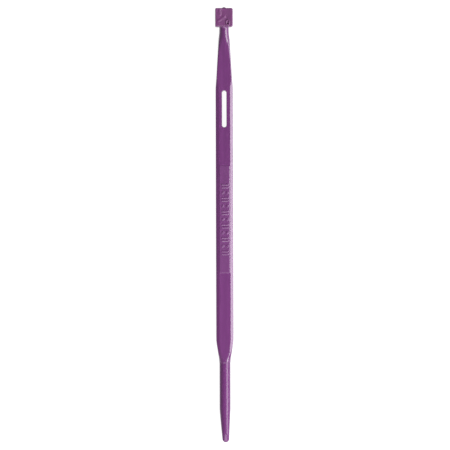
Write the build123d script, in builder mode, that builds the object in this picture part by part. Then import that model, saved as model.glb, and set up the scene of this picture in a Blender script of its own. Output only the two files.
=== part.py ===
"""Handle of a reusable interdental brush: a slim moulded stick with a block head and a round tail.

The stick lies on its back along Y, head towards +Y and front face towards +Z. Lengths are in
millimetres. The origin is under the middle of the stick, on the surface that it lies on.
"""

import os
from math import cos, radians, sin

from build123d import *

# Head block
head_width = 6.1
head_height = 6.4
head_corner = 0.45
head_edge = 0.25

# Wire guides and eyelet on the head's face. The slanting guide's ends are given from the
# middle of the face. The eyelet leaves a wall between itself and the post, and leans towards
# the head's top on its way to the back, so that the brush stands out from there at an angle.
guide_width = 0.8
relief_height = 0.25
upright_left = 1.45
upright_length = 2.4
slant_low = (-1.95, -1.3)
slant_high = (0.05, 0.1)
eyelet_diameter = 0.6
eyelet_slant = 25.0
eyelet_wall = 0.4
eyelet_above_base = 1.05
rim_width = 0.45
rim_rise = 0.3
rim_extra_height = 0.65

# Post: the thin end of the handle, which runs up through the head block
post_diameter = 1.2
post_proud = 0.42
post_rounding = 0.35

# Neck, and the flare that widens it to the shank. The flare starts all but round: each corner's
# radius is nearly half its width.
neck_diameter = 3.2
neck_length = 1.3
neck_root_radius = 0.5
neck_corner_share = 0.49
waist_width = 4.05
waist_thickness = 3.5
waist_corner = 1.1
waist_distance = 4.1
hip_inset_side = 0.25
hip_inset_face = 0.2
hip_corner = 0.5
hip_distance = 13.1
shoulder_distance = 2.9

# Shank: a bar with its four long edges bevelled
shank_length = 87.1
shank_width = 5.9
shank_thickness = 4.6
bevel_width = 0.95
bevel_depth = 0.5
taper_length = 7.6

# Threading slot
slot_width = 1.52
slot_length = 12.7
slot_below_shoulder = 0.65

# Grip panel, a low pad on the front, and its rows of raised bars and pips
panel_left_margin = 0.29
panel_right_margin = 0.19
panel_length = 37.0
panel_height = 0.1
panel_corner = 0.3
panel_below_shoulder = 26.6
mark_rows = 11
mark_left_margin = 0.7
mark_right_margin = 0.4
mark_end_margin = 7.0
mark_height = 0.14
bar_width = 0.5
bar_spacing = 0.95
pip_diameter = 0.85

# Tail rod, its leaning point and the spigot that is pressed into the shank
tail_diameter = 3.72
tail_length = 16.2
point_length = 10.05
point_lean = 0.22
nose_radius = 1.15
spigot_diameter = 2.4
spigot_length = 9.0
socket_spare = 0.5

# Clearance between a pressed piece and its hole: none, the two walls meet
press_gap = 0.0

# Places along the stick, from the tip of the post down to the end of the nose
flare_length = waist_distance + hip_distance + shoulder_distance
overall_length = (
    post_proud + head_height + neck_length + flare_length + shank_length
    + taper_length + tail_length + point_length + nose_radius
)
head_top = overall_length / 2 - post_proud
head_middle = head_top - head_height / 2
head_base = head_top - head_height
neck_base = head_base - neck_length
waist = neck_base - waist_distance
hip = waist - hip_distance
shoulder = hip - shoulder_distance
shank_end = shoulder - shank_length
tail_top = shank_end - taper_length
point_top = tail_top - tail_length
nose_centre = point_top - point_length

# The head is as deep as the shank is thick, so the whole stick lies flat on its back
axis_height = shank_thickness / 2
front = shank_thickness

# Places that follow from neighbouring sizes
hip_width = shank_width - 2 * hip_inset_side
hip_thickness = shank_thickness - 2 * hip_inset_face
eyelet_right = post_diameter / 2 + eyelet_wall + eyelet_diameter / 2
eyelet_y = head_base + eyelet_above_base
flat_side = shank_width / 2 - bevel_width
panel_left = -flat_side + panel_left_margin
panel_right = flat_side - panel_right_margin
panel_width = panel_right - panel_left
panel_centre = (panel_left + panel_right) / 2
panel_top = shoulder - panel_below_shoulder
mark_span = panel_width - mark_left_margin - mark_right_margin
mark_centre = panel_centre + (mark_left_margin - mark_right_margin) / 2
mark_pitch = (panel_length - 2 * mark_end_margin) / (mark_rows - 1)


def across(y, right=0.0):
    """Plane across the stick at y, centred on its axis or beside it, looking down the stick."""
    return Plane(origin=(right, y, axis_height), x_dir=(1, 0, 0), z_dir=(0, -1, 0))


def level(height, y=0.0, right=0.0):
    """Plane level with the table at a height, centred at a place on the stick."""
    return Plane(origin=(right, y, height), x_dir=(1, 0, 0), z_dir=(0, 0, 1))


def bevelled_corners(width, thickness, bevel_across, bevel_down):
    """Corners of an eight-sided section, anticlockwise from the right side's lower one."""
    side = width / 2
    face = thickness / 2
    upper = [(side, face - bevel_down), (side - bevel_across, face)]
    upper_left = [(-x, y) for x, y in reversed(upper)]
    lower = [(-x, -y) for x, y in upper + upper_left]
    return [lower[3], *upper, *upper_left, *lower[:3]]


# ------------------------------------------------------------------ handle
shank_section = bevelled_corners(shank_width, shank_thickness, bevel_width, bevel_depth)

# The taper ends in a regular octagon whose corners lie on the tail rod's edge
octagon_side = tail_diameter / 2 * cos(radians(22.5))
octagon_bevel = octagon_side - tail_diameter / 2 * sin(radians(22.5))
tail_section = bevelled_corners(2 * octagon_side, 2 * octagon_side, octagon_bevel, octagon_bevel)

with BuildPart() as handle:
    # Post and neck, turned about the axis, with a hollow curve where the neck meets the head
    with BuildSketch(level(axis_height)):
        with BuildLine():
            post_side = post_diameter / 2
            neck_side = neck_diameter / 2
            post_tip = head_top + post_proud
            root_side = neck_side + neck_root_radius
            root_foot = head_base - neck_root_radius
            tip_edge = (post_side - post_rounding, post_tip)
            tip_side = (post_side, post_tip - post_rounding)
            Polyline((0, neck_base), (0, post_tip), tip_edge)
            RadiusArc(tip_edge, tip_side, post_rounding)
            Polyline(tip_side, (post_side, head_base), (root_side, head_base))
            RadiusArc((root_side, head_base), (neck_side, root_foot), -neck_root_radius)
            Polyline((neck_side, root_foot), (neck_side, neck_base), (0, neck_base))
        make_face()
    revolve(axis=Axis((0, 0, axis_height), (0, 1, 0)))

    # Flare: round at the neck and flat-faced at the hip
    with BuildSketch(across(neck_base)):
        RectangleRounded(neck_diameter, neck_diameter, neck_corner_share * neck_diameter)
    with BuildSketch(across(waist)):
        RectangleRounded(waist_width, waist_thickness, waist_corner)
    with BuildSketch(across(hip)):
        RectangleRounded(hip_width, hip_thickness, hip_corner)
    loft()

    # Shoulder, where the hip's round corners open into the shank's bevels
    with BuildSketch(across(hip)):
        RectangleRounded(hip_width, hip_thickness, hip_corner)
    with BuildSketch(across(shoulder)):
        Polygon(*shank_section, align=None)
    loft(ruled=True)

    # Shank, and the taper that draws it in to the tail rod
    with BuildSketch(across(shoulder)):
        Polygon(*shank_section, align=None)
    extrude(amount=shank_length)
    with BuildSketch(across(shank_end)):
        Polygon(*shank_section, align=None)
    with BuildSketch(across(tail_top)):
        Polygon(*tail_section, align=None)
    loft(ruled=True)

    # Threading slot, straight through from front to back
    with BuildSketch(level(0, shoulder - slot_below_shoulder - slot_length / 2)):
        SlotOverall(slot_length, slot_width, rotation=90)
    extrude(amount=shank_thickness, mode=Mode.SUBTRACT)

    # Grip panel, with a bar pair and a pip pair in turn standing on it
    with BuildSketch(level(front, panel_top - panel_length / 2, panel_centre)):
        RectangleRounded(panel_width, panel_length, panel_corner)
    extrude(amount=panel_height)
    for row in range(mark_rows):
        row_y = panel_top - mark_end_margin - row * mark_pitch
        with BuildSketch(level(front + panel_height, row_y, mark_centre)):
            if row % 2:
                with GridLocations(mark_span - pip_diameter, 0, 2, 1):
                    Circle(pip_diameter / 2)
            else:
                with GridLocations(0, bar_spacing, 1, 2):
                    SlotOverall(mark_span, bar_width)
        extrude(amount=mark_height)

    # Socket for the tail rod's spigot
    with BuildSketch(across(tail_top)):
        Circle(spigot_diameter / 2 + press_gap)
    extrude(amount=-(spigot_length + socket_spare), mode=Mode.SUBTRACT)
handle.part.label = "handle"


# -------------------------------------------------------------- head block
with BuildPart() as head_block:
    with BuildSketch(level(0, head_middle)):
        RectangleRounded(head_width, head_height, head_corner)
    extrude(amount=front)
    outlines = head_block.edges().group_by(Axis.Z)
    chamfer([*outlines[0], *outlines[-1]], head_edge)

    # Wire guides: one runs up from the middle, one slants across, and a rim rings the eyelet
    with BuildSketch(level(front, head_middle)):
        upright_top = head_height / 2 - head_edge
        with Locations((-upright_left, upright_top - upright_length / 2)):
            SlotOverall(upright_length, guide_width, rotation=90)
        with BuildLine(mode=Mode.PRIVATE):
            slant = Line(slant_low, slant_high)
        with Locations(slant @ 0.5):
            SlotCenterToCenter(slant.length, guide_width, rotation=slant.tangent_angle_at(0))
        with Locations((eyelet_right, eyelet_y + rim_rise - head_middle)):
            rim_outside = eyelet_diameter + 2 * rim_width
            SlotOverall(rim_outside + rim_extra_height, rim_outside, rotation=90)
    extrude(amount=relief_height)

    # Eyelet, slanting through from front to back, and the hole for the post from top to bottom
    lean = radians(eyelet_slant)
    mouth = (eyelet_right, eyelet_y, front)
    with BuildSketch(Plane(origin=mouth, x_dir=(1, 0, 0), z_dir=(0, -sin(lean), cos(lean)))):
        Circle(eyelet_diameter / 2)
    extrude(amount=front / cos(lean) + eyelet_diameter, both=True, mode=Mode.SUBTRACT)
    with BuildSketch(across(head_top)):
        Circle(post_diameter / 2 + press_gap)
    extrude(amount=head_height, mode=Mode.SUBTRACT)
head_block.part.label = "head_block"


# ---------------------------------------------------------------- tail rod
with BuildPart() as tail_rod:
    with BuildSketch(across(tail_top + spigot_length)):
        Circle(spigot_diameter / 2)
    extrude(amount=spigot_length)
    with BuildSketch(across(tail_top)):
        Circle(tail_diameter / 2)
    extrude(amount=tail_length)

    # The point leans a little to the right and ends in a round nose
    with BuildSketch(across(point_top)):
        Circle(tail_diameter / 2)
    with BuildSketch(across(nose_centre, point_lean)):
        Circle(nose_radius)
    loft()
    with BuildSketch(level(axis_height, nose_centre, point_lean)):
        with BuildLine():
            CenterArc((0, 0), nose_radius, -90, 90)
            Polyline((nose_radius, 0), (0, 0), (0, -nose_radius))
        make_face()
    revolve(axis=Axis((point_lean, nose_centre, axis_height), (0, 1, 0)))
tail_rod.part.label = "tail_rod"


os.makedirs("parts", exist_ok=True)
for piece in (handle, head_block, tail_rod):
    export_step(piece.part, f"parts/{piece.part.label}.step")
print("overall length", round(overall_length, 2))
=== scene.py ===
import math

import bmesh
import bpy
import numpy as np
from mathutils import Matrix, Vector


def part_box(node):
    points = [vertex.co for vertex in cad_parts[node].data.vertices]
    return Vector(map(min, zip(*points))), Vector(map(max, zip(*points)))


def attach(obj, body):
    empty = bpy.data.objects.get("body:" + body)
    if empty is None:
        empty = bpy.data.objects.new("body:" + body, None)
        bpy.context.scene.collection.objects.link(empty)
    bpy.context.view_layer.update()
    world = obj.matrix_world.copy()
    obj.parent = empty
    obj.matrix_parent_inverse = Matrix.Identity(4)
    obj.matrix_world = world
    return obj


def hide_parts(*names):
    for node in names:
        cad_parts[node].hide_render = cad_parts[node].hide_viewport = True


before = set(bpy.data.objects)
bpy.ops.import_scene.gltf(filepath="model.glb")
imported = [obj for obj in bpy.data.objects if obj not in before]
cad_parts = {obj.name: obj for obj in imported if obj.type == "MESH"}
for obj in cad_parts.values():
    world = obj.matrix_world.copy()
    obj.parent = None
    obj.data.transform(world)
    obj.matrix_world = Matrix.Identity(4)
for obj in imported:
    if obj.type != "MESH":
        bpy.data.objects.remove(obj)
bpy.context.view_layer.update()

mm = 0.001
scene = bpy.context.scene


# The CAD boxes give every place along the stick, in millimetres
def boxMm(node):
    low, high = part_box(node)
    return np.array(low) / mm, np.array(high) / mm


handleLow, handleHigh = boxMm("handle")
headLow, headHigh = boxMm("head_block")
tailLow, tailHigh = boxMm("tail_rod")
midHeight = (tailLow[2] + tailHigh[2]) / 2
depth = 2 * midHeight                        # the shank's thickness, and the head's without its guides
headMiddleY = (headLow[1] + headHigh[1]) / 2
tailTopY = handleLow[1]


# A grid of points, rows by columns, becomes quads; wrap joins the last column to the first
def gridFaces(rows, columns, wrap, start):
    across = columns if wrap else columns - 1
    row, column = np.meshgrid(np.arange(rows - 1), np.arange(across), indexing="ij")
    beside = (column + 1) % columns
    upper, lower = row * columns, (row + 1) * columns
    quads = np.stack([upper + column, upper + beside, lower + beside, lower + column], -1)
    return start + quads.reshape(-1, 4)


# Grids are joined into one closed mesh: shared edges merge, flat quads at poles go, faces turn outwards
def makePiece(name, grids, material):
    mergeMm, flatMm = 0.0004, 0.0002
    points, faces, start = [], [], 0
    for grid, wrap in grids:
        rows, columns = grid.shape[:2]
        points.append(grid.reshape(-1, 3))
        faces.append(gridFaces(rows, columns, wrap, start))
        start += rows * columns
    mesh = bpy.data.meshes.new(name)
    mesh.from_pydata(np.concatenate(points) * mm, [], np.concatenate(faces).tolist())
    work = bmesh.new()
    work.from_mesh(mesh)
    bmesh.ops.remove_doubles(work, verts=work.verts, dist=mergeMm * mm)
    bmesh.ops.dissolve_degenerate(work, edges=work.edges, dist=flatMm * mm)
    bmesh.ops.recalc_face_normals(work, faces=work.faces)
    openEdges = sum(not edge.is_manifold for edge in work.edges)
    work.to_mesh(mesh)
    work.free()
    mesh.shade_smooth()
    mesh.materials.append(material)
    mesh.calc_loop_triangles()
    piece = bpy.data.objects.new(name, mesh)
    scene.collection.objects.link(piece)
    print(name, "triangles", len(mesh.loop_triangles), "open edges", openEdges)
    return piece


# 0 below the edge, 1 above it, with an S-shaped step as wide as soft on each side
def softStep(value, soft):
    t = np.clip(value / (2 * soft) + 0.5, 0, 1)
    return t * t * (3 - 2 * t)


# 1 at a distance of 0, falling along half a cosine wave to 0 at the reach
def softRidge(distance, reach):
    return 0.5 + 0.5 * np.cos(math.pi * np.clip(distance / reach, -1, 1))


# Distance outside a rounded rectangle centred at the origin, negative inside
def roundedBox(x, y, halfX, halfY, corner):
    dx = np.abs(x) - halfX + corner
    dy = np.abs(y) - halfY + corner
    return np.hypot(np.maximum(dx, 0), np.maximum(dy, 0)) + np.minimum(np.maximum(dx, dy), 0) - corner


# Distance from the straight line between two points
def fromLine(x, y, a, b):
    ax, ay = a
    dx, dy = b[0] - ax, b[1] - ay
    t = np.clip(((x - ax) * dx + (y - ay) * dy) / (dx * dx + dy * dy), 0, 1)
    return np.hypot(x - ax - t * dx, y - ay - t * dy)


# The small raised line where the two halves of the mould met: a bell curve about the axis's height
def partingLine(z, piece):
    return piece["partingHeight"] * np.exp(-(z / piece["partingWidth"]) ** 2)


# Sines and cosines of angles evenly spaced over a quarter turn, for rounded edges
def quarterTurn(count=7):
    turn = np.linspace(0, math.pi / 2, count)
    return np.sin(turn), np.cos(turn)


handle = dict(
    postRadius=0.6, postRounding=0.4,
    rootRadius=0.5,                          # hollow curve where the neck meets the head
    # below the head: distance, half width, half thickness, bevel across, bevel down, how angular
    stations=[
        (0.50, 1.60, 1.60, 0.80, 0.42, 0.00),
        (1.30, 1.60, 1.60, 0.80, 0.42, 0.00),
        (2.60, 1.67, 1.64, 0.80, 0.42, 0.00),
        (4.90, 1.99, 1.84, 0.50, 0.30, 0.35),
        (7.20, 2.09, 1.88, 0.40, 0.21, 0.80),
        (12.0, 2.34, 1.98, 0.24, 0.12, 1.00),
        (18.2, 2.70, 2.12, 0.24, 0.12, 1.00),
        (21.2, 2.95, 2.30, 0.94, 0.50, 1.00),
        (108.5, 2.95, 2.30, 0.94, 0.50, 1.00),
        (112.6, 2.33, 2.07, 0.79, 0.50, 0.94),
        (114.9, 1.98, 1.94, 0.70, 0.50, 0.20),
        (116.1, 1.86, 1.86, 0.60, 0.42, 0.00),
    ],
    leftBevelShare=1.2,
    sharpness=90,                            # how tightly the long edges are rounded
    softening=0.9,                           # how far each station is blended along the stick
    faceAngle=0.72,                          # the flat faces reach this far round, in radians
    partingHeight=0.02, partingWidth=0.035,
    socketRadius=1.22, socketDepth=9.5,
    seam=0.015,                              # rounding at the joint with the tail rod
    # rows of the mesh on the neck, the flare, below the slot and on the taper: from, to, how many
    rowSpans=[(0.5, 1.3, 3), (1.3, 22.0, 46), (36.5, 36.5, 1), (106.5, 116.05, 34)],
)
slot = dict(below=22.05, length=12.7, width=1.52, mouth=0.14, reach=1.9)
panel = dict(
    below=48.0, length=37.0, left=-1.71, right=1.81, corner=0.3, height=0.1, roughness=0.36,
    soft=0.085, lowerSoft=0.22, lowerBlend=(3, 1),    # its edge softens this far from its lower end
    rows=11, endMargin=7.0, markMiddle=0.2, markHalf=1.21, markHeight=0.14, markSoft=0.08,
    barWidth=0.5, barRoundness=0.98, barSpacing=0.95, pipDiameter=0.85,
    markRowSpacing=0.105, upperRows=(-0.15, 0.6, 9), lowerRows=(-0.9, 0.3, 13),
)
ejector = dict(below=(42.6, 70.0, 98.0), radius=1.1, depth=0.03, soft=0.1, rows=20)

slotRadius = slot["width"] / 2
slotStraight = (slot["length"] - slot["width"]) / 2
slotMiddle = slot["below"] + slot["length"] / 2


# Half width, half thickness, bevel across, bevel down and how angular, at places below the head.
# Straight lines between the stations are averaged over a short stretch, so their corners are soft.
def sections(below):
    samples = 15
    stations = np.array(handle["stations"])
    offsets = np.linspace(-handle["softening"], handle["softening"], samples)
    return [
        np.mean([np.interp(below + offset, stations[:, 0], values) for offset in offsets], 0)
        for values in stations[:, 1:].T
    ]


# Distance from the axis at an angle from the front: the rounded intersection of eight flats,
# mixed with a circle where the section isn't angular
def sectionRadius(angle, halfWidth, halfThick, across, down, angular):
    tilt = np.arctan2(down, across)
    bevel = (down * halfWidth + across * (halfThick - down)) / np.hypot(across, down)
    total = 0
    for normal, distance in (
        (0, halfThick), (math.pi, halfThick), (math.pi / 2, halfWidth), (-math.pi / 2, halfWidth),
        (tilt, bevel), (-tilt, bevel), (math.pi - tilt, bevel), (math.pi + tilt, bevel),
    ):
        total = total + np.maximum(np.cos(angle - normal) / distance, 0) ** handle["sharpness"]
    return angular * total ** (-1 / handle["sharpness"]) + (1 - angular) * halfWidth


# How high the front stands above the shank's face: the grip panel's pad, and the marks on it
def frontRelief(x, below):
    along = below - panel["below"]
    length, margin = panel["length"], panel["endMargin"]
    middleX = (panel["left"] + panel["right"]) / 2
    halfX = (panel["right"] - panel["left"]) / 2
    outside = roundedBox(x - middleX, along - length / 2, halfX, length / 2, panel["corner"])
    blend = length - np.array(panel["lowerBlend"])
    pad = softStep(-outside, np.interp(along, blend, [panel["soft"], panel["lowerSoft"]]))

    # Rows of two bars and rows of two pips take turns
    pitch = (length - 2 * margin) / (panel["rows"] - 1)
    row = np.clip(np.rint((along - margin) / pitch), 0, panel["rows"] - 1)
    y = along - margin - row * pitch
    sideways = np.abs(x - panel["markMiddle"])
    barHalf, pipRadius = panel["barWidth"] / 2, panel["pipDiameter"] / 2
    fromBar = np.abs(y) - panel["barSpacing"] / 2
    bar = roundedBox(sideways, fromBar, panel["markHalf"], barHalf, panel["barRoundness"] * barHalf)
    pip = np.hypot(sideways - panel["markHalf"] + pipRadius, y) - pipRadius
    mark = softStep(-np.where(row % 2 == 0, bar, pip), panel["markSoft"])
    return panel["height"] * pad + panel["markHeight"] * mark


# The back's shallow round dents, where the mould's ejector pins pushed
def backRelief(x, below):
    dent = 0
    for place in ejector["below"]:
        inside = ejector["radius"] - np.hypot(x, below - place)
        dent = dent + ejector["depth"] * softStep(inside, ejector["soft"])
    return dent


# Half the width of the slot's opening at a place along it, measured at its mouth's outer edge
def slotHalfWidth(below):
    past = np.maximum(np.abs(below - slotMiddle) - slotStraight, 0)
    return np.sqrt(np.maximum((slotRadius + slot["mouth"]) ** 2 - past ** 2, 0))


# Angles of the columns from the front, crowded at the bevels' edges and at the parting line
def columnAngles():
    spans = [                                # from, to, how many
        (0, 40.3, 27), (40.3, 43, 6), (43, 56, 4), (56, 60.5, 8), (60.5, 88, 4), (88, 92, 8),
        (92, 119.5, 4), (119.5, 124, 8), (124, 137, 4), (137, 139.7, 6), (139.7, 180, 18),
    ]
    degrees = [np.linspace(*span, endpoint=False) for span in spans]
    return np.radians(np.concatenate(degrees + [[180]]))


# Rows of the handle's skin where the slot is: closely spaced round its two ends
def slotRows():
    sine, cosine = quarterTurn(13)
    end = slotStraight + (slotRadius + slot["mouth"]) * cosine
    straight = np.linspace(-slotStraight, slotStraight, 5)[1:-1]
    return (slotMiddle + np.concatenate([-end, straight, end[::-1]])).round(5)


# Rows of the whole skin, crowded where it bends; along the slot there are only the slot's own
def handleRows():
    slotBelow = slotRows()
    panelEnd = panel["below"] + panel["length"]
    marksStart = panel["below"] + panel["endMargin"] - 1
    marksEnd = panelEnd - panel["endMargin"] + 1
    spans = [np.linspace(*span) for span in handle["rowSpans"]]
    spans.append(panel["below"] + np.linspace(*panel["upperRows"]))
    spans.append(np.arange(marksStart, marksEnd, panel["markRowSpacing"]))
    spans.append(panelEnd + np.linspace(*panel["lowerRows"]))
    reach = ejector["radius"] + 1.5 * ejector["soft"]
    for place in ejector["below"]:
        spans.append(place + np.linspace(-reach, reach, ejector["rows"]))
    below = np.concatenate(spans).round(5)
    clear = (below < slotBelow[0]) | (below > slotBelow[-1])
    return np.unique(np.concatenate([below[clear], slotBelow]))


# Columns near the middle of a face move aside, so that the first one runs round the slot's mouth
def partColumns(angle, halfThick, opening):
    steepest = 1.4                           # past it, in radians, a column is on the stick's side
    x = halfThick * np.tan(np.minimum(angle, steepest))
    moved = opening + x * (1 - opening / slot["reach"])
    return np.where(x < slot["reach"], np.arctan(moved / halfThick), angle)


# One side of the skin, from the front's middle round to the back's middle
def handleSkin(side, below, angle):
    below = below[:, None]
    halfWidth, halfThick, across, down, angular = sections(below)
    across = across * (handle["leftBevelShare"] if side < 0 else 1)
    opening = slotHalfWidth(below)
    turned = partColumns(angle, halfThick, opening)
    turned = math.pi - partColumns(math.pi - turned, halfThick, opening)
    radius = sectionRadius(turned, halfWidth, halfThick, across, down, angular)
    x, z = radius * np.sin(turned), radius * np.cos(turned)
    x = x + partingLine(z, handle)
    onFront = turned < handle["faceAngle"]
    onBack = turned > math.pi - handle["faceAngle"]
    z = z + onFront * frontRelief(side * x, below) + onBack * backRelief(side * x, below)
    return np.stack([side * x, headLow[1] - below + 0 * x, midHeight + z], -1)


# One side of a surface turned about the axis; its profile is radii and places along the stick
def turnedSide(side, angle, profile):
    radius, y = np.array(profile).T[:, :, None]
    x, z = radius * np.sin(angle), radius * np.cos(angle)
    return np.stack([side * x, y + 0 * x, midHeight + z], -1)


# Profile of the post, and of the hollow curve where the neck meets the head
def postProfile():
    top, base, neck = handleHigh[1], headLow[1], handle["stations"][0][1]
    radius, rounding, root = handle["postRadius"], handle["postRounding"], handle["rootRadius"]
    sine, cosine = quarterTurn()
    tip = zip(radius - rounding + rounding * sine, top - rounding + rounding * cosine)
    hollow = zip(neck + root - root * sine[:-1], base - root + root * cosine[:-1])
    return [(0, top), *tip, (radius, base), *hollow]


# Profile of the joint with the tail rod, and of the socket behind it
def socketProfile():
    radius, socket, seam = handle["stations"][-1][1], handle["socketRadius"], handle["seam"]
    end = tailTopY + handle["socketDepth"]
    sine, cosine = quarterTurn()
    edge = zip(radius - seam + seam * cosine[1:], tailTopY + seam - seam * sine[1:])
    return [*edge, (socket, tailTopY), (socket, end), (0, end)]


# One side of the slot's wall, from its round-edged front mouth to the back one. Its first and
# last columns are the skin's own edges.
def slotWall(side, front, back):
    mouth, middleY = slot["mouth"], headLow[1] - slotMiddle
    sine, cosine = quarterTurn(6)
    radius = slotRadius + mouth * np.concatenate([1 - sine, 1 - cosine])
    height = np.concatenate([depth - mouth * (1 - cosine), mouth * (1 - sine)])
    along = front[:, 1] - middleY
    endCentre = np.clip(along, -slotStraight, slotStraight)
    outwardX = np.abs(front[:, 0]) / (slotRadius + mouth)
    outwardY = (along - endCentre) / (slotRadius + mouth)
    x = side * outwardX[:, None] * radius
    y = middleY + endCentre[:, None] + outwardY[:, None] * radius
    wall = np.stack([x, y, height + 0 * x], -1)
    wall[:, 0], wall[:, -1] = front, back
    return wall


def makeHandle(material):
    angle, below = columnAngles(), handleRows()
    first, last = np.searchsorted(below, slotRows()[[0, -1]])
    grids = []
    for side in (1, -1):
        skin = handleSkin(side, below, angle)
        above = turnedSide(side, angle, postProfile())
        under = turnedSide(side, angle, socketProfile())
        grids.append((np.concatenate([above, skin, under]), False))
        besideSlot = skin[first:last + 1]
        grids.append((slotWall(side, besideSlot[:, 0], besideSlot[:, -1]), False))
    return makePiece("handleBody", grids, material)


head = dict(
    corners=(0.5, 0.4, 0.38, 0.7),           # upper right, upper left, lower left, lower right
    edge=0.3, relief=0.25, partingHeight=0.02, partingWidth=0.05,
    eyeletRadius=0.26, eyeletRight=1.30, eyeletAboveBase=1.05, eyeletSlant=25, mouth=0.1,
    rimRise=0.3, rimStretch=0.33, rimCrest=0.52, rimSlope=0.3,
    uprightX=-1.45, uprightFrom=0.85, uprightTo=2.9, uprightShare=0.42,
    slantFrom=(-1.95, -1.3), slantTo=(0.05, 0.1), slantShare=0.55, ridgeHalf=0.75,
    columns=420, faceRings=64, crowding=1.25,         # the face's rings crowd towards the eyelet
)
eyeletY = headLow[1] - headMiddleY + head["eyeletAboveBase"]


# A closed outline of a rectangle with its own radius at each corner, evenly spaced along its
# length, and the outward direction at each point
def headOutline(halfX, halfY):
    quarter = np.linspace(0, math.pi / 2, 20)
    arcs = []
    for k, (signX, signY) in enumerate([(1, 1), (-1, 1), (-1, -1), (1, -1)]):
        radius = head["corners"][k]
        centre = np.array([signX * (halfX - radius), signY * (halfY - radius)])
        turn = quarter + k * math.pi / 2
        arcs.append(centre + radius * np.stack([np.cos(turn), np.sin(turn)], -1))
    loop = np.concatenate(arcs + [arcs[0][:1]])
    run = np.concatenate([[0], np.cumsum(np.hypot(*np.diff(loop, axis=0).T))])
    even = np.linspace(0, run[-1], head["columns"], endpoint=False)
    points = np.stack([np.interp(even, run, loop[:, k]) for k in (0, 1)], -1)
    tangent = np.roll(points, -1, 0) - np.roll(points, 1, 0)
    tangent /= np.hypot(*tangent.T)[:, None]
    return points, np.stack([tangent[:, 1], -tangent[:, 0]], -1)


# Height of the wire guides and the eyelet's oval rim, at places from the middle of the head's face
def headRelief(x, y):
    right, rimY, stretch = head["eyeletRight"], eyeletY + head["rimRise"], head["rimStretch"]
    upright = fromLine(x, y, (head["uprightX"], head["uprightFrom"]), (head["uprightX"], head["uprightTo"]))
    slant = fromLine(x, y, head["slantFrom"], head["slantTo"])
    rim = fromLine(x, y, (right, rimY - stretch), (right, rimY + stretch)) - head["rimCrest"]
    return head["relief"] * np.max([
        head["uprightShare"] * softRidge(upright, head["ridgeHalf"]),
        head["slantShare"] * softRidge(slant, head["ridgeHalf"]),
        softRidge(rim, head["rimSlope"]),
    ], 0)


# Rings run round the eyelet: out over the face, down the side, in over the back and up the bore
def makeHead(material):
    halfX, halfY = (headHigh - headLow)[:2] / 2 - head["partingHeight"]
    outline, outward = headOutline(halfX, halfY)
    edge, mouth = head["edge"], head["mouth"]
    lean = math.radians(head["eyeletSlant"])
    backShift = depth * math.tan(lean)
    frontEyelet = np.array([head["eyeletRight"], eyeletY])

    def spokesFrom(centre):
        away = outline - centre
        return away / np.hypot(*away.T)[:, None]
    frontSpoke, backSpoke = spokesFrom(frontEyelet), spokesFrom(frontEyelet + (0, backShift))

    # A level cut of the slanting bore is an oval, a little longer along the stick
    def bore(z, outside):
        share = z / depth
        spoke = backSpoke + (frontSpoke - backSpoke) * share
        spoke /= np.hypot(*spoke.T)[:, None]
        centre = frontEyelet + (0, backShift * (1 - share))
        return centre + spoke * (head["eyeletRadius"] + outside) * (1, 1 / math.cos(lean))

    rings = []

    def addRing(points, z):
        rings.append(np.column_stack([points, z + np.zeros(len(points))]))

    frontMouth, backMouth = bore(depth, mouth), bore(0, mouth)
    border = outline - outward * edge        # where the flat faces end and the round edges start
    borderHeight = headRelief(*border.T)
    for share in np.linspace(0, 1, head["faceRings"]) ** head["crowding"]:
        points = frontMouth + (border - frontMouth) * share
        addRing(points, depth + headRelief(*points.T))
    rounding = list(zip(*quarterTurn()))
    for sine, cosine in rounding[1:]:
        addRing(border + outward * edge * sine, depth + borderHeight * cosine - edge * (1 - cosine))
    crowded = np.linspace(0.12, -0.12, 9)    # across the parting line
    for z in [1.2, 0.5, *crowded, -0.5, -1.2]:
        addRing(outline + outward * partingLine(z, head), midHeight + z)
    for sine, cosine in rounding[::-1]:
        addRing(border + outward * edge * sine, edge * (1 - cosine))
    for share in np.linspace(1, 0, 16)[1:]:
        addRing(backMouth + (border - backMouth) * share, 0)
    for sine, cosine in rounding[1:]:
        z = mouth * (1 - cosine)
        addRing(bore(z, mouth * (1 - sine)), z)
    for z in np.linspace(0, depth, 9)[1:-1]:
        addRing(bore(z, 0), z)
    mouthHeight = depth + headRelief(*frontMouth.T)
    for sine, cosine in rounding[::-1]:
        addRing(bore(depth, mouth * (1 - sine)), mouthHeight - mouth * (1 - cosine))
    grid = np.array(rings)
    grid[:, :, 1] += headMiddleY
    return makePiece("headBlock", [(grid, True)], material)


tail = dict(
    radius=1.86, length=16.2, spigotRadius=1.2, noseRadius=1.15, pointBulge=0.02,
    lean=0.22, leanPower=1.3,
    rodEase=0.6, coneEase=0.4,               # a short bevel between these softens the cone's upper edge
    flattenedLength=3.2, flattening=0.68, flatPower=1.4,   # the point's end is flatter, front and back
    partingHeight=0.015, partingWidth=0.05, seam=0.015, columns=96,
)


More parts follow.
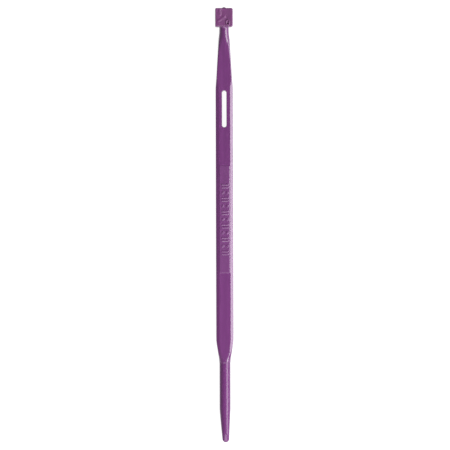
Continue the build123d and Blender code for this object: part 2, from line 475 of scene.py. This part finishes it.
# Rings down the rod: its radius shrinks to the nose while its axis leans to the right
def makeTail(material):
    turn = np.linspace(0, 2 * math.pi, tail["columns"], endpoint=False)
    seam, radius, nose = tail["seam"], tail["radius"], tail["noseRadius"]
    pointTop = tailTopY - tail["length"]
    noseCentre = tailLow[1] + nose
    coneTop = pointTop + tail["coneEase"]
    sine, cosine = quarterTurn()
    noseSine, noseCosine = quarterTurn(16)
    down = np.linspace(0, 1, 26)
    rod = np.linspace(tailTopY, pointTop + tail["rodEase"], 14)[1:]
    cone = radius + (nose - radius) * down + tail["pointBulge"] * np.sin(math.pi * down)
    profile = np.array([                     # places along the stick, and radii
        (tailHigh[1], 0), (tailHigh[1], tail["spigotRadius"]), (tailTopY, tail["spigotRadius"]),
        *zip(tailTopY - seam * (1 - cosine), radius - seam + seam * sine),
        *zip(rod, radius + 0 * rod),
        *zip(coneTop + (noseCentre - coneTop) * down, cone),
        *zip(noseCentre - nose * noseSine[1:], nose * noseCosine[1:]),
    ])
    y, r = profile[:, :1], profile[:, 1:]
    progress = np.clip((pointTop - y) / (pointTop - noseCentre), 0, 1)
    fromEnd = np.clip((y - tailLow[1]) / tail["flattenedLength"], 0, 1)
    flatter = 1 - tail["flattening"] * (1 - fromEnd) ** tail["flatPower"]
    x, z = r * np.sin(turn), r * np.cos(turn) * flatter
    x = x + np.sign(x) * partingLine(z, tail) * (r > 0.9 * nose)
    x = x + tail["lean"] * progress ** tail["leanPower"]
    grid = np.stack([x, y + 0 * x, midHeight + z], -1)
    return makePiece("tailRod", [(grid, True)], material)


# A screen colour's hex code as the shader's linear colour
def linear(code):
    channels = [int(code[k:k + 2], 16) / 255 for k in (1, 3, 5)]
    return [c / 12.92 if c <= 0.04045 else ((c + 0.055) / 1.055) ** 2.4 for c in channels] + [1]


# Adds a node with its settings, and links its inputs
def addNode(tree, kind, links=None, **settings):
    node = tree.nodes.new(kind)
    for key, value in settings.items():
        if key.startswith("in_"):
            name = key[3:].replace("_", " ")
            node.inputs[int(name) if name.isdigit() else name].default_value = value
        else:
            setattr(node, key, value)
    for name, source in (links or {}).items():
        tree.links.new(source, node.inputs[name])
    return node


# An empty material to add nodes to
def newMaterial(name):
    material = bpy.data.materials.new(name)
    material.use_nodes = True
    material.node_tree.nodes.clear()
    return material, material.node_tree


plastic = dict(
    ior=1.49, scatterMm=0.8, scatterColour=(1.0, 0.4, 1.0),
    flowMm=2.2, flowStretch=0.04,            # streaks this far apart, and 25 times as long
    peelMm=0.35, peelHeightMm=0.02, peelStrength=0.05,
    scuffMm=0.16, roughnessSpread=0.04,
)
handleFinish = dict(deep="#502452", colour="#552757", bloom="#5b2c5d",
                    roughness=0.17, sheen=0.5, translucence=0.12, seed=0.0)
# The head is duller than the handle, and lets a little more light through
headFinish = dict(deep="#552753", colour="#5b2b58", bloom="#62315f",
                  roughness=0.42, sheen=0.5, translucence=0.35, seed=0.31)
# The tail is between the two in gloss
tailFinish = dict(deep="#502452", colour="#552757", bloom="#5b2c5d",
                  roughness=0.24, sheen=0.28, translucence=0.12, seed=0.57)


# 1 over the grip panel, which is duller, and 0 elsewhere
def panelMask(tree, place):
    spot = addNode(tree, "ShaderNodeSeparateXYZ", {"Vector": place})
    top = headLow[1] - panel["below"]
    spans = dict(X=(panel["left"], panel["right"]), Y=(top - panel["length"], top),
                 Z=(depth - panel["height"] / 2, handleHigh[2]))
    mask = None
    for axis, (low, high) in spans.items():
        inside = addNode(tree, "ShaderNodeMath", {0: spot.outputs[axis]}, operation="COMPARE",
                         in_1=(low + high) / 2 * mm, in_2=(high - low) / 2 * mm)
        if mask:
            both = {0: mask, 1: inside.outputs[0]}
            inside = addNode(tree, "ShaderNodeMath", both, operation="MULTIPLY")
        mask = inside.outputs[0]
    return mask


# Injection-moulded polypropylene: semi-gloss and a little milky, so light rounds its edges off.
# The melt's flow leaves faint lengthways streaks, and the polished mould a very fine orange peel.
def mouldedPolypropylene(name, finish):
    material, tree = newMaterial(name)
    place = addNode(tree, "ShaderNodeTexCoord").outputs["Object"]
    along = addNode(tree, "ShaderNodeMapping", {"Vector": place},
                    in_Scale=(1, plastic["flowStretch"], 1), in_Location=(finish["seed"],) * 3)
    flow = addNode(tree, "ShaderNodeTexNoise", {"Vector": along.outputs[0]},
                   in_Scale=1 / (plastic["flowMm"] * mm), in_Detail=3.0, in_Roughness=0.55)
    tint = addNode(tree, "ShaderNodeValToRGB", {"Fac": flow.outputs["Fac"]})
    ramp = tint.color_ramp.elements
    ramp[0].position, ramp[0].color = 0.3, linear(finish["deep"])
    ramp[1].position, ramp[1].color = 0.72, linear(finish["bloom"])
    ramp.new(0.5).color = linear(finish["colour"])
    scuffs = addNode(tree, "ShaderNodeTexNoise", {"Vector": along.outputs[0]},
                     in_Scale=1 / (plastic["scuffMm"] * mm), in_Detail=1.0)
    rough = addNode(tree, "ShaderNodeMapRange", {"Value": scuffs.outputs["Fac"]},
                    in_From_Min=0.3, in_From_Max=0.75,
                    in_To_Min=finish["roughness"] - plastic["roughnessSpread"],
                    in_To_Max=finish["roughness"] + plastic["roughnessSpread"])
    duller = addNode(tree, "ShaderNodeMix", {"Factor": panelMask(tree, place), "A": rough.outputs[0]},
                     in_B=panel["roughness"])
    peel = addNode(tree, "ShaderNodeTexNoise", {"Vector": place},
                   in_Scale=1 / (plastic["peelMm"] * mm), in_Detail=2.0, in_Roughness=0.5)
    bump = addNode(tree, "ShaderNodeBump", {"Height": peel.outputs["Fac"]},
                   in_Strength=plastic["peelStrength"], in_Distance=plastic["peelHeightMm"] * mm)
    shader = addNode(
        tree, "ShaderNodeBsdfPrincipled",
        {"Base Color": tint.outputs["Color"], "Roughness": duller.outputs[0], "Normal": bump.outputs[0]},
        in_IOR=plastic["ior"], in_Specular_IOR_Level=finish["sheen"],
        in_Subsurface_Weight=finish["translucence"], in_Subsurface_Radius=plastic["scatterColour"],
        in_Subsurface_Scale=plastic["scatterMm"] * mm)
    addNode(tree, "ShaderNodeOutputMaterial", {"Surface": shader.outputs[0]})
    return material


# The pieces, with the CAD node that each stands for and its material slot
for make, plasticName, finish, node, slotName in (
    (makeHandle, "purplePolypropyleneHandle", handleFinish, "handle", "handle_plastic"),
    (makeHead, "purplePolypropyleneHead", headFinish, "head_block", "head_plastic"),
    (makeTail, "purplePolypropyleneTail", tailFinish, "tail_rod", "tail_plastic"),
):
    piece = make(mouldedPolypropylene(plasticName, finish))
    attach(piece, "root")
    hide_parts(node)
print("pieces made")


studio = dict(
    tableSize=3.0, tableColour="#606060", tableGlow=0.95, satinMm=0.4, satinHeightMm=0.01,
    # each softbox: the way to it from the stick, degrees from overhead, and sizes in metres
    key=dict(side=(1, 0), tilt=51, distance=0.5, length=0.62, width=0.34, radiance=9.5),
    end=dict(side=(0, -1), tilt=55, distance=0.5, length=0.45, width=0.35, radiance=6.0),
    horizonGrey=0.5, zenithGrey=0.3,
)


# The lit top of a light table: opal acrylic, evenly bright from below, with a satin face
def litOpalAcrylic():
    material, tree = newMaterial("opalAcrylicLightTable")
    place = addNode(tree, "ShaderNodeTexCoord").outputs["Object"]
    satin = addNode(tree, "ShaderNodeTexNoise", {"Vector": place},
                    in_Scale=1 / (studio["satinMm"] * mm), in_Detail=2.0)
    bump = addNode(tree, "ShaderNodeBump", {"Height": satin.outputs["Fac"]},
                   in_Strength=0.05, in_Distance=studio["satinHeightMm"] * mm)
    shader = addNode(tree, "ShaderNodeBsdfPrincipled", {"Normal": bump.outputs[0]},
                     in_Base_Color=linear(studio["tableColour"]), in_Roughness=0.6,
                     in_Specular_IOR_Level=0.2, in_Emission_Color=(1, 1, 1, 1),
                     in_Emission_Strength=studio["tableGlow"])
    addNode(tree, "ShaderNodeOutputMaterial", {"Surface": shader.outputs[0]})
    return material


half = studio["tableSize"] / 2
floorCorners = [(-half, -half, 0), (half, -half, 0), (half, half, 0), (-half, half, 0)]
floorMesh = bpy.data.meshes.new("floor")
floorMesh.from_pydata(floorCorners, [], [(0, 1, 2, 3)])
floorMesh.materials.append(litOpalAcrylic())
floor = bpy.data.objects.new("floor", floorMesh)
scene.collection.objects.link(floor)
print("light table laid")


# A rectangular softbox of an even radiance, aimed at the middle of the stick; its length is level
def softbox(name, side, tilt, distance, length, width, radiance):
    lean = math.radians(tilt)
    away = Vector((side[0] * math.sin(lean), side[1] * math.sin(lean), math.cos(lean)))
    light = bpy.data.lights.new(name, "AREA")
    light.shape = "RECTANGLE"
    light.size, light.size_y = length, width
    light.energy = radiance * math.pi * length * width
    lamp = bpy.data.objects.new(name, light)
    lamp.location = distance * away
    lamp.rotation_euler = (-away).to_track_quat("-Z", "Y").to_euler()
    scene.collection.objects.link(lamp)


softbox("keySoftbox", **studio["key"])
softbox("endSoftbox", **studio["end"])

# The room's grey light, a little dimmer overhead than from the sides
world = bpy.data.worlds.new("paleStudio")
world.use_nodes = True
room = world.node_tree
room.nodes.clear()
outlook = addNode(room, "ShaderNodeTexCoord").outputs["Generated"]
upward = addNode(room, "ShaderNodeSeparateXYZ", {"Vector": outlook})
fade = addNode(room, "ShaderNodeMapRange", {"Value": upward.outputs["Z"]},
               in_To_Min=studio["horizonGrey"], in_To_Max=studio["zenithGrey"])
glow = addNode(room, "ShaderNodeBackground", {"Strength": fade.outputs[0]}, in_Color=(1, 1, 1, 1))
addNode(room, "ShaderNodeOutputWorld", {"Surface": glow.outputs[0]})
scene.world = world
scene.view_settings.view_transform = "Standard"
scene.view_settings.look = "None"
print("studio lit")

# The camera looks straight down at the whole stick, a hair off centre and off square
view = dict(frameMm=155.5, lens=200.0, sensor=36.0, right=0.15, up=-0.1, roll=0.16, nearest=0.01)
lens = bpy.data.cameras.new("camera")
lens.lens, lens.sensor_width, lens.sensor_height = view["lens"], view["sensor"], view["sensor"]
lens.sensor_fit = "HORIZONTAL"
lens.clip_start = view["nearest"]
camera = bpy.data.objects.new("camera", lens)
distance = view["frameMm"] * mm * view["lens"] / view["sensor"]
camera.location = (view["right"] * mm, view["up"] * mm, distance + midHeight * mm)
camera.rotation_euler = (0, 0, math.radians(-view["roll"]))
scene.collection.objects.link(camera)
scene.camera = camera

print("scene ready")
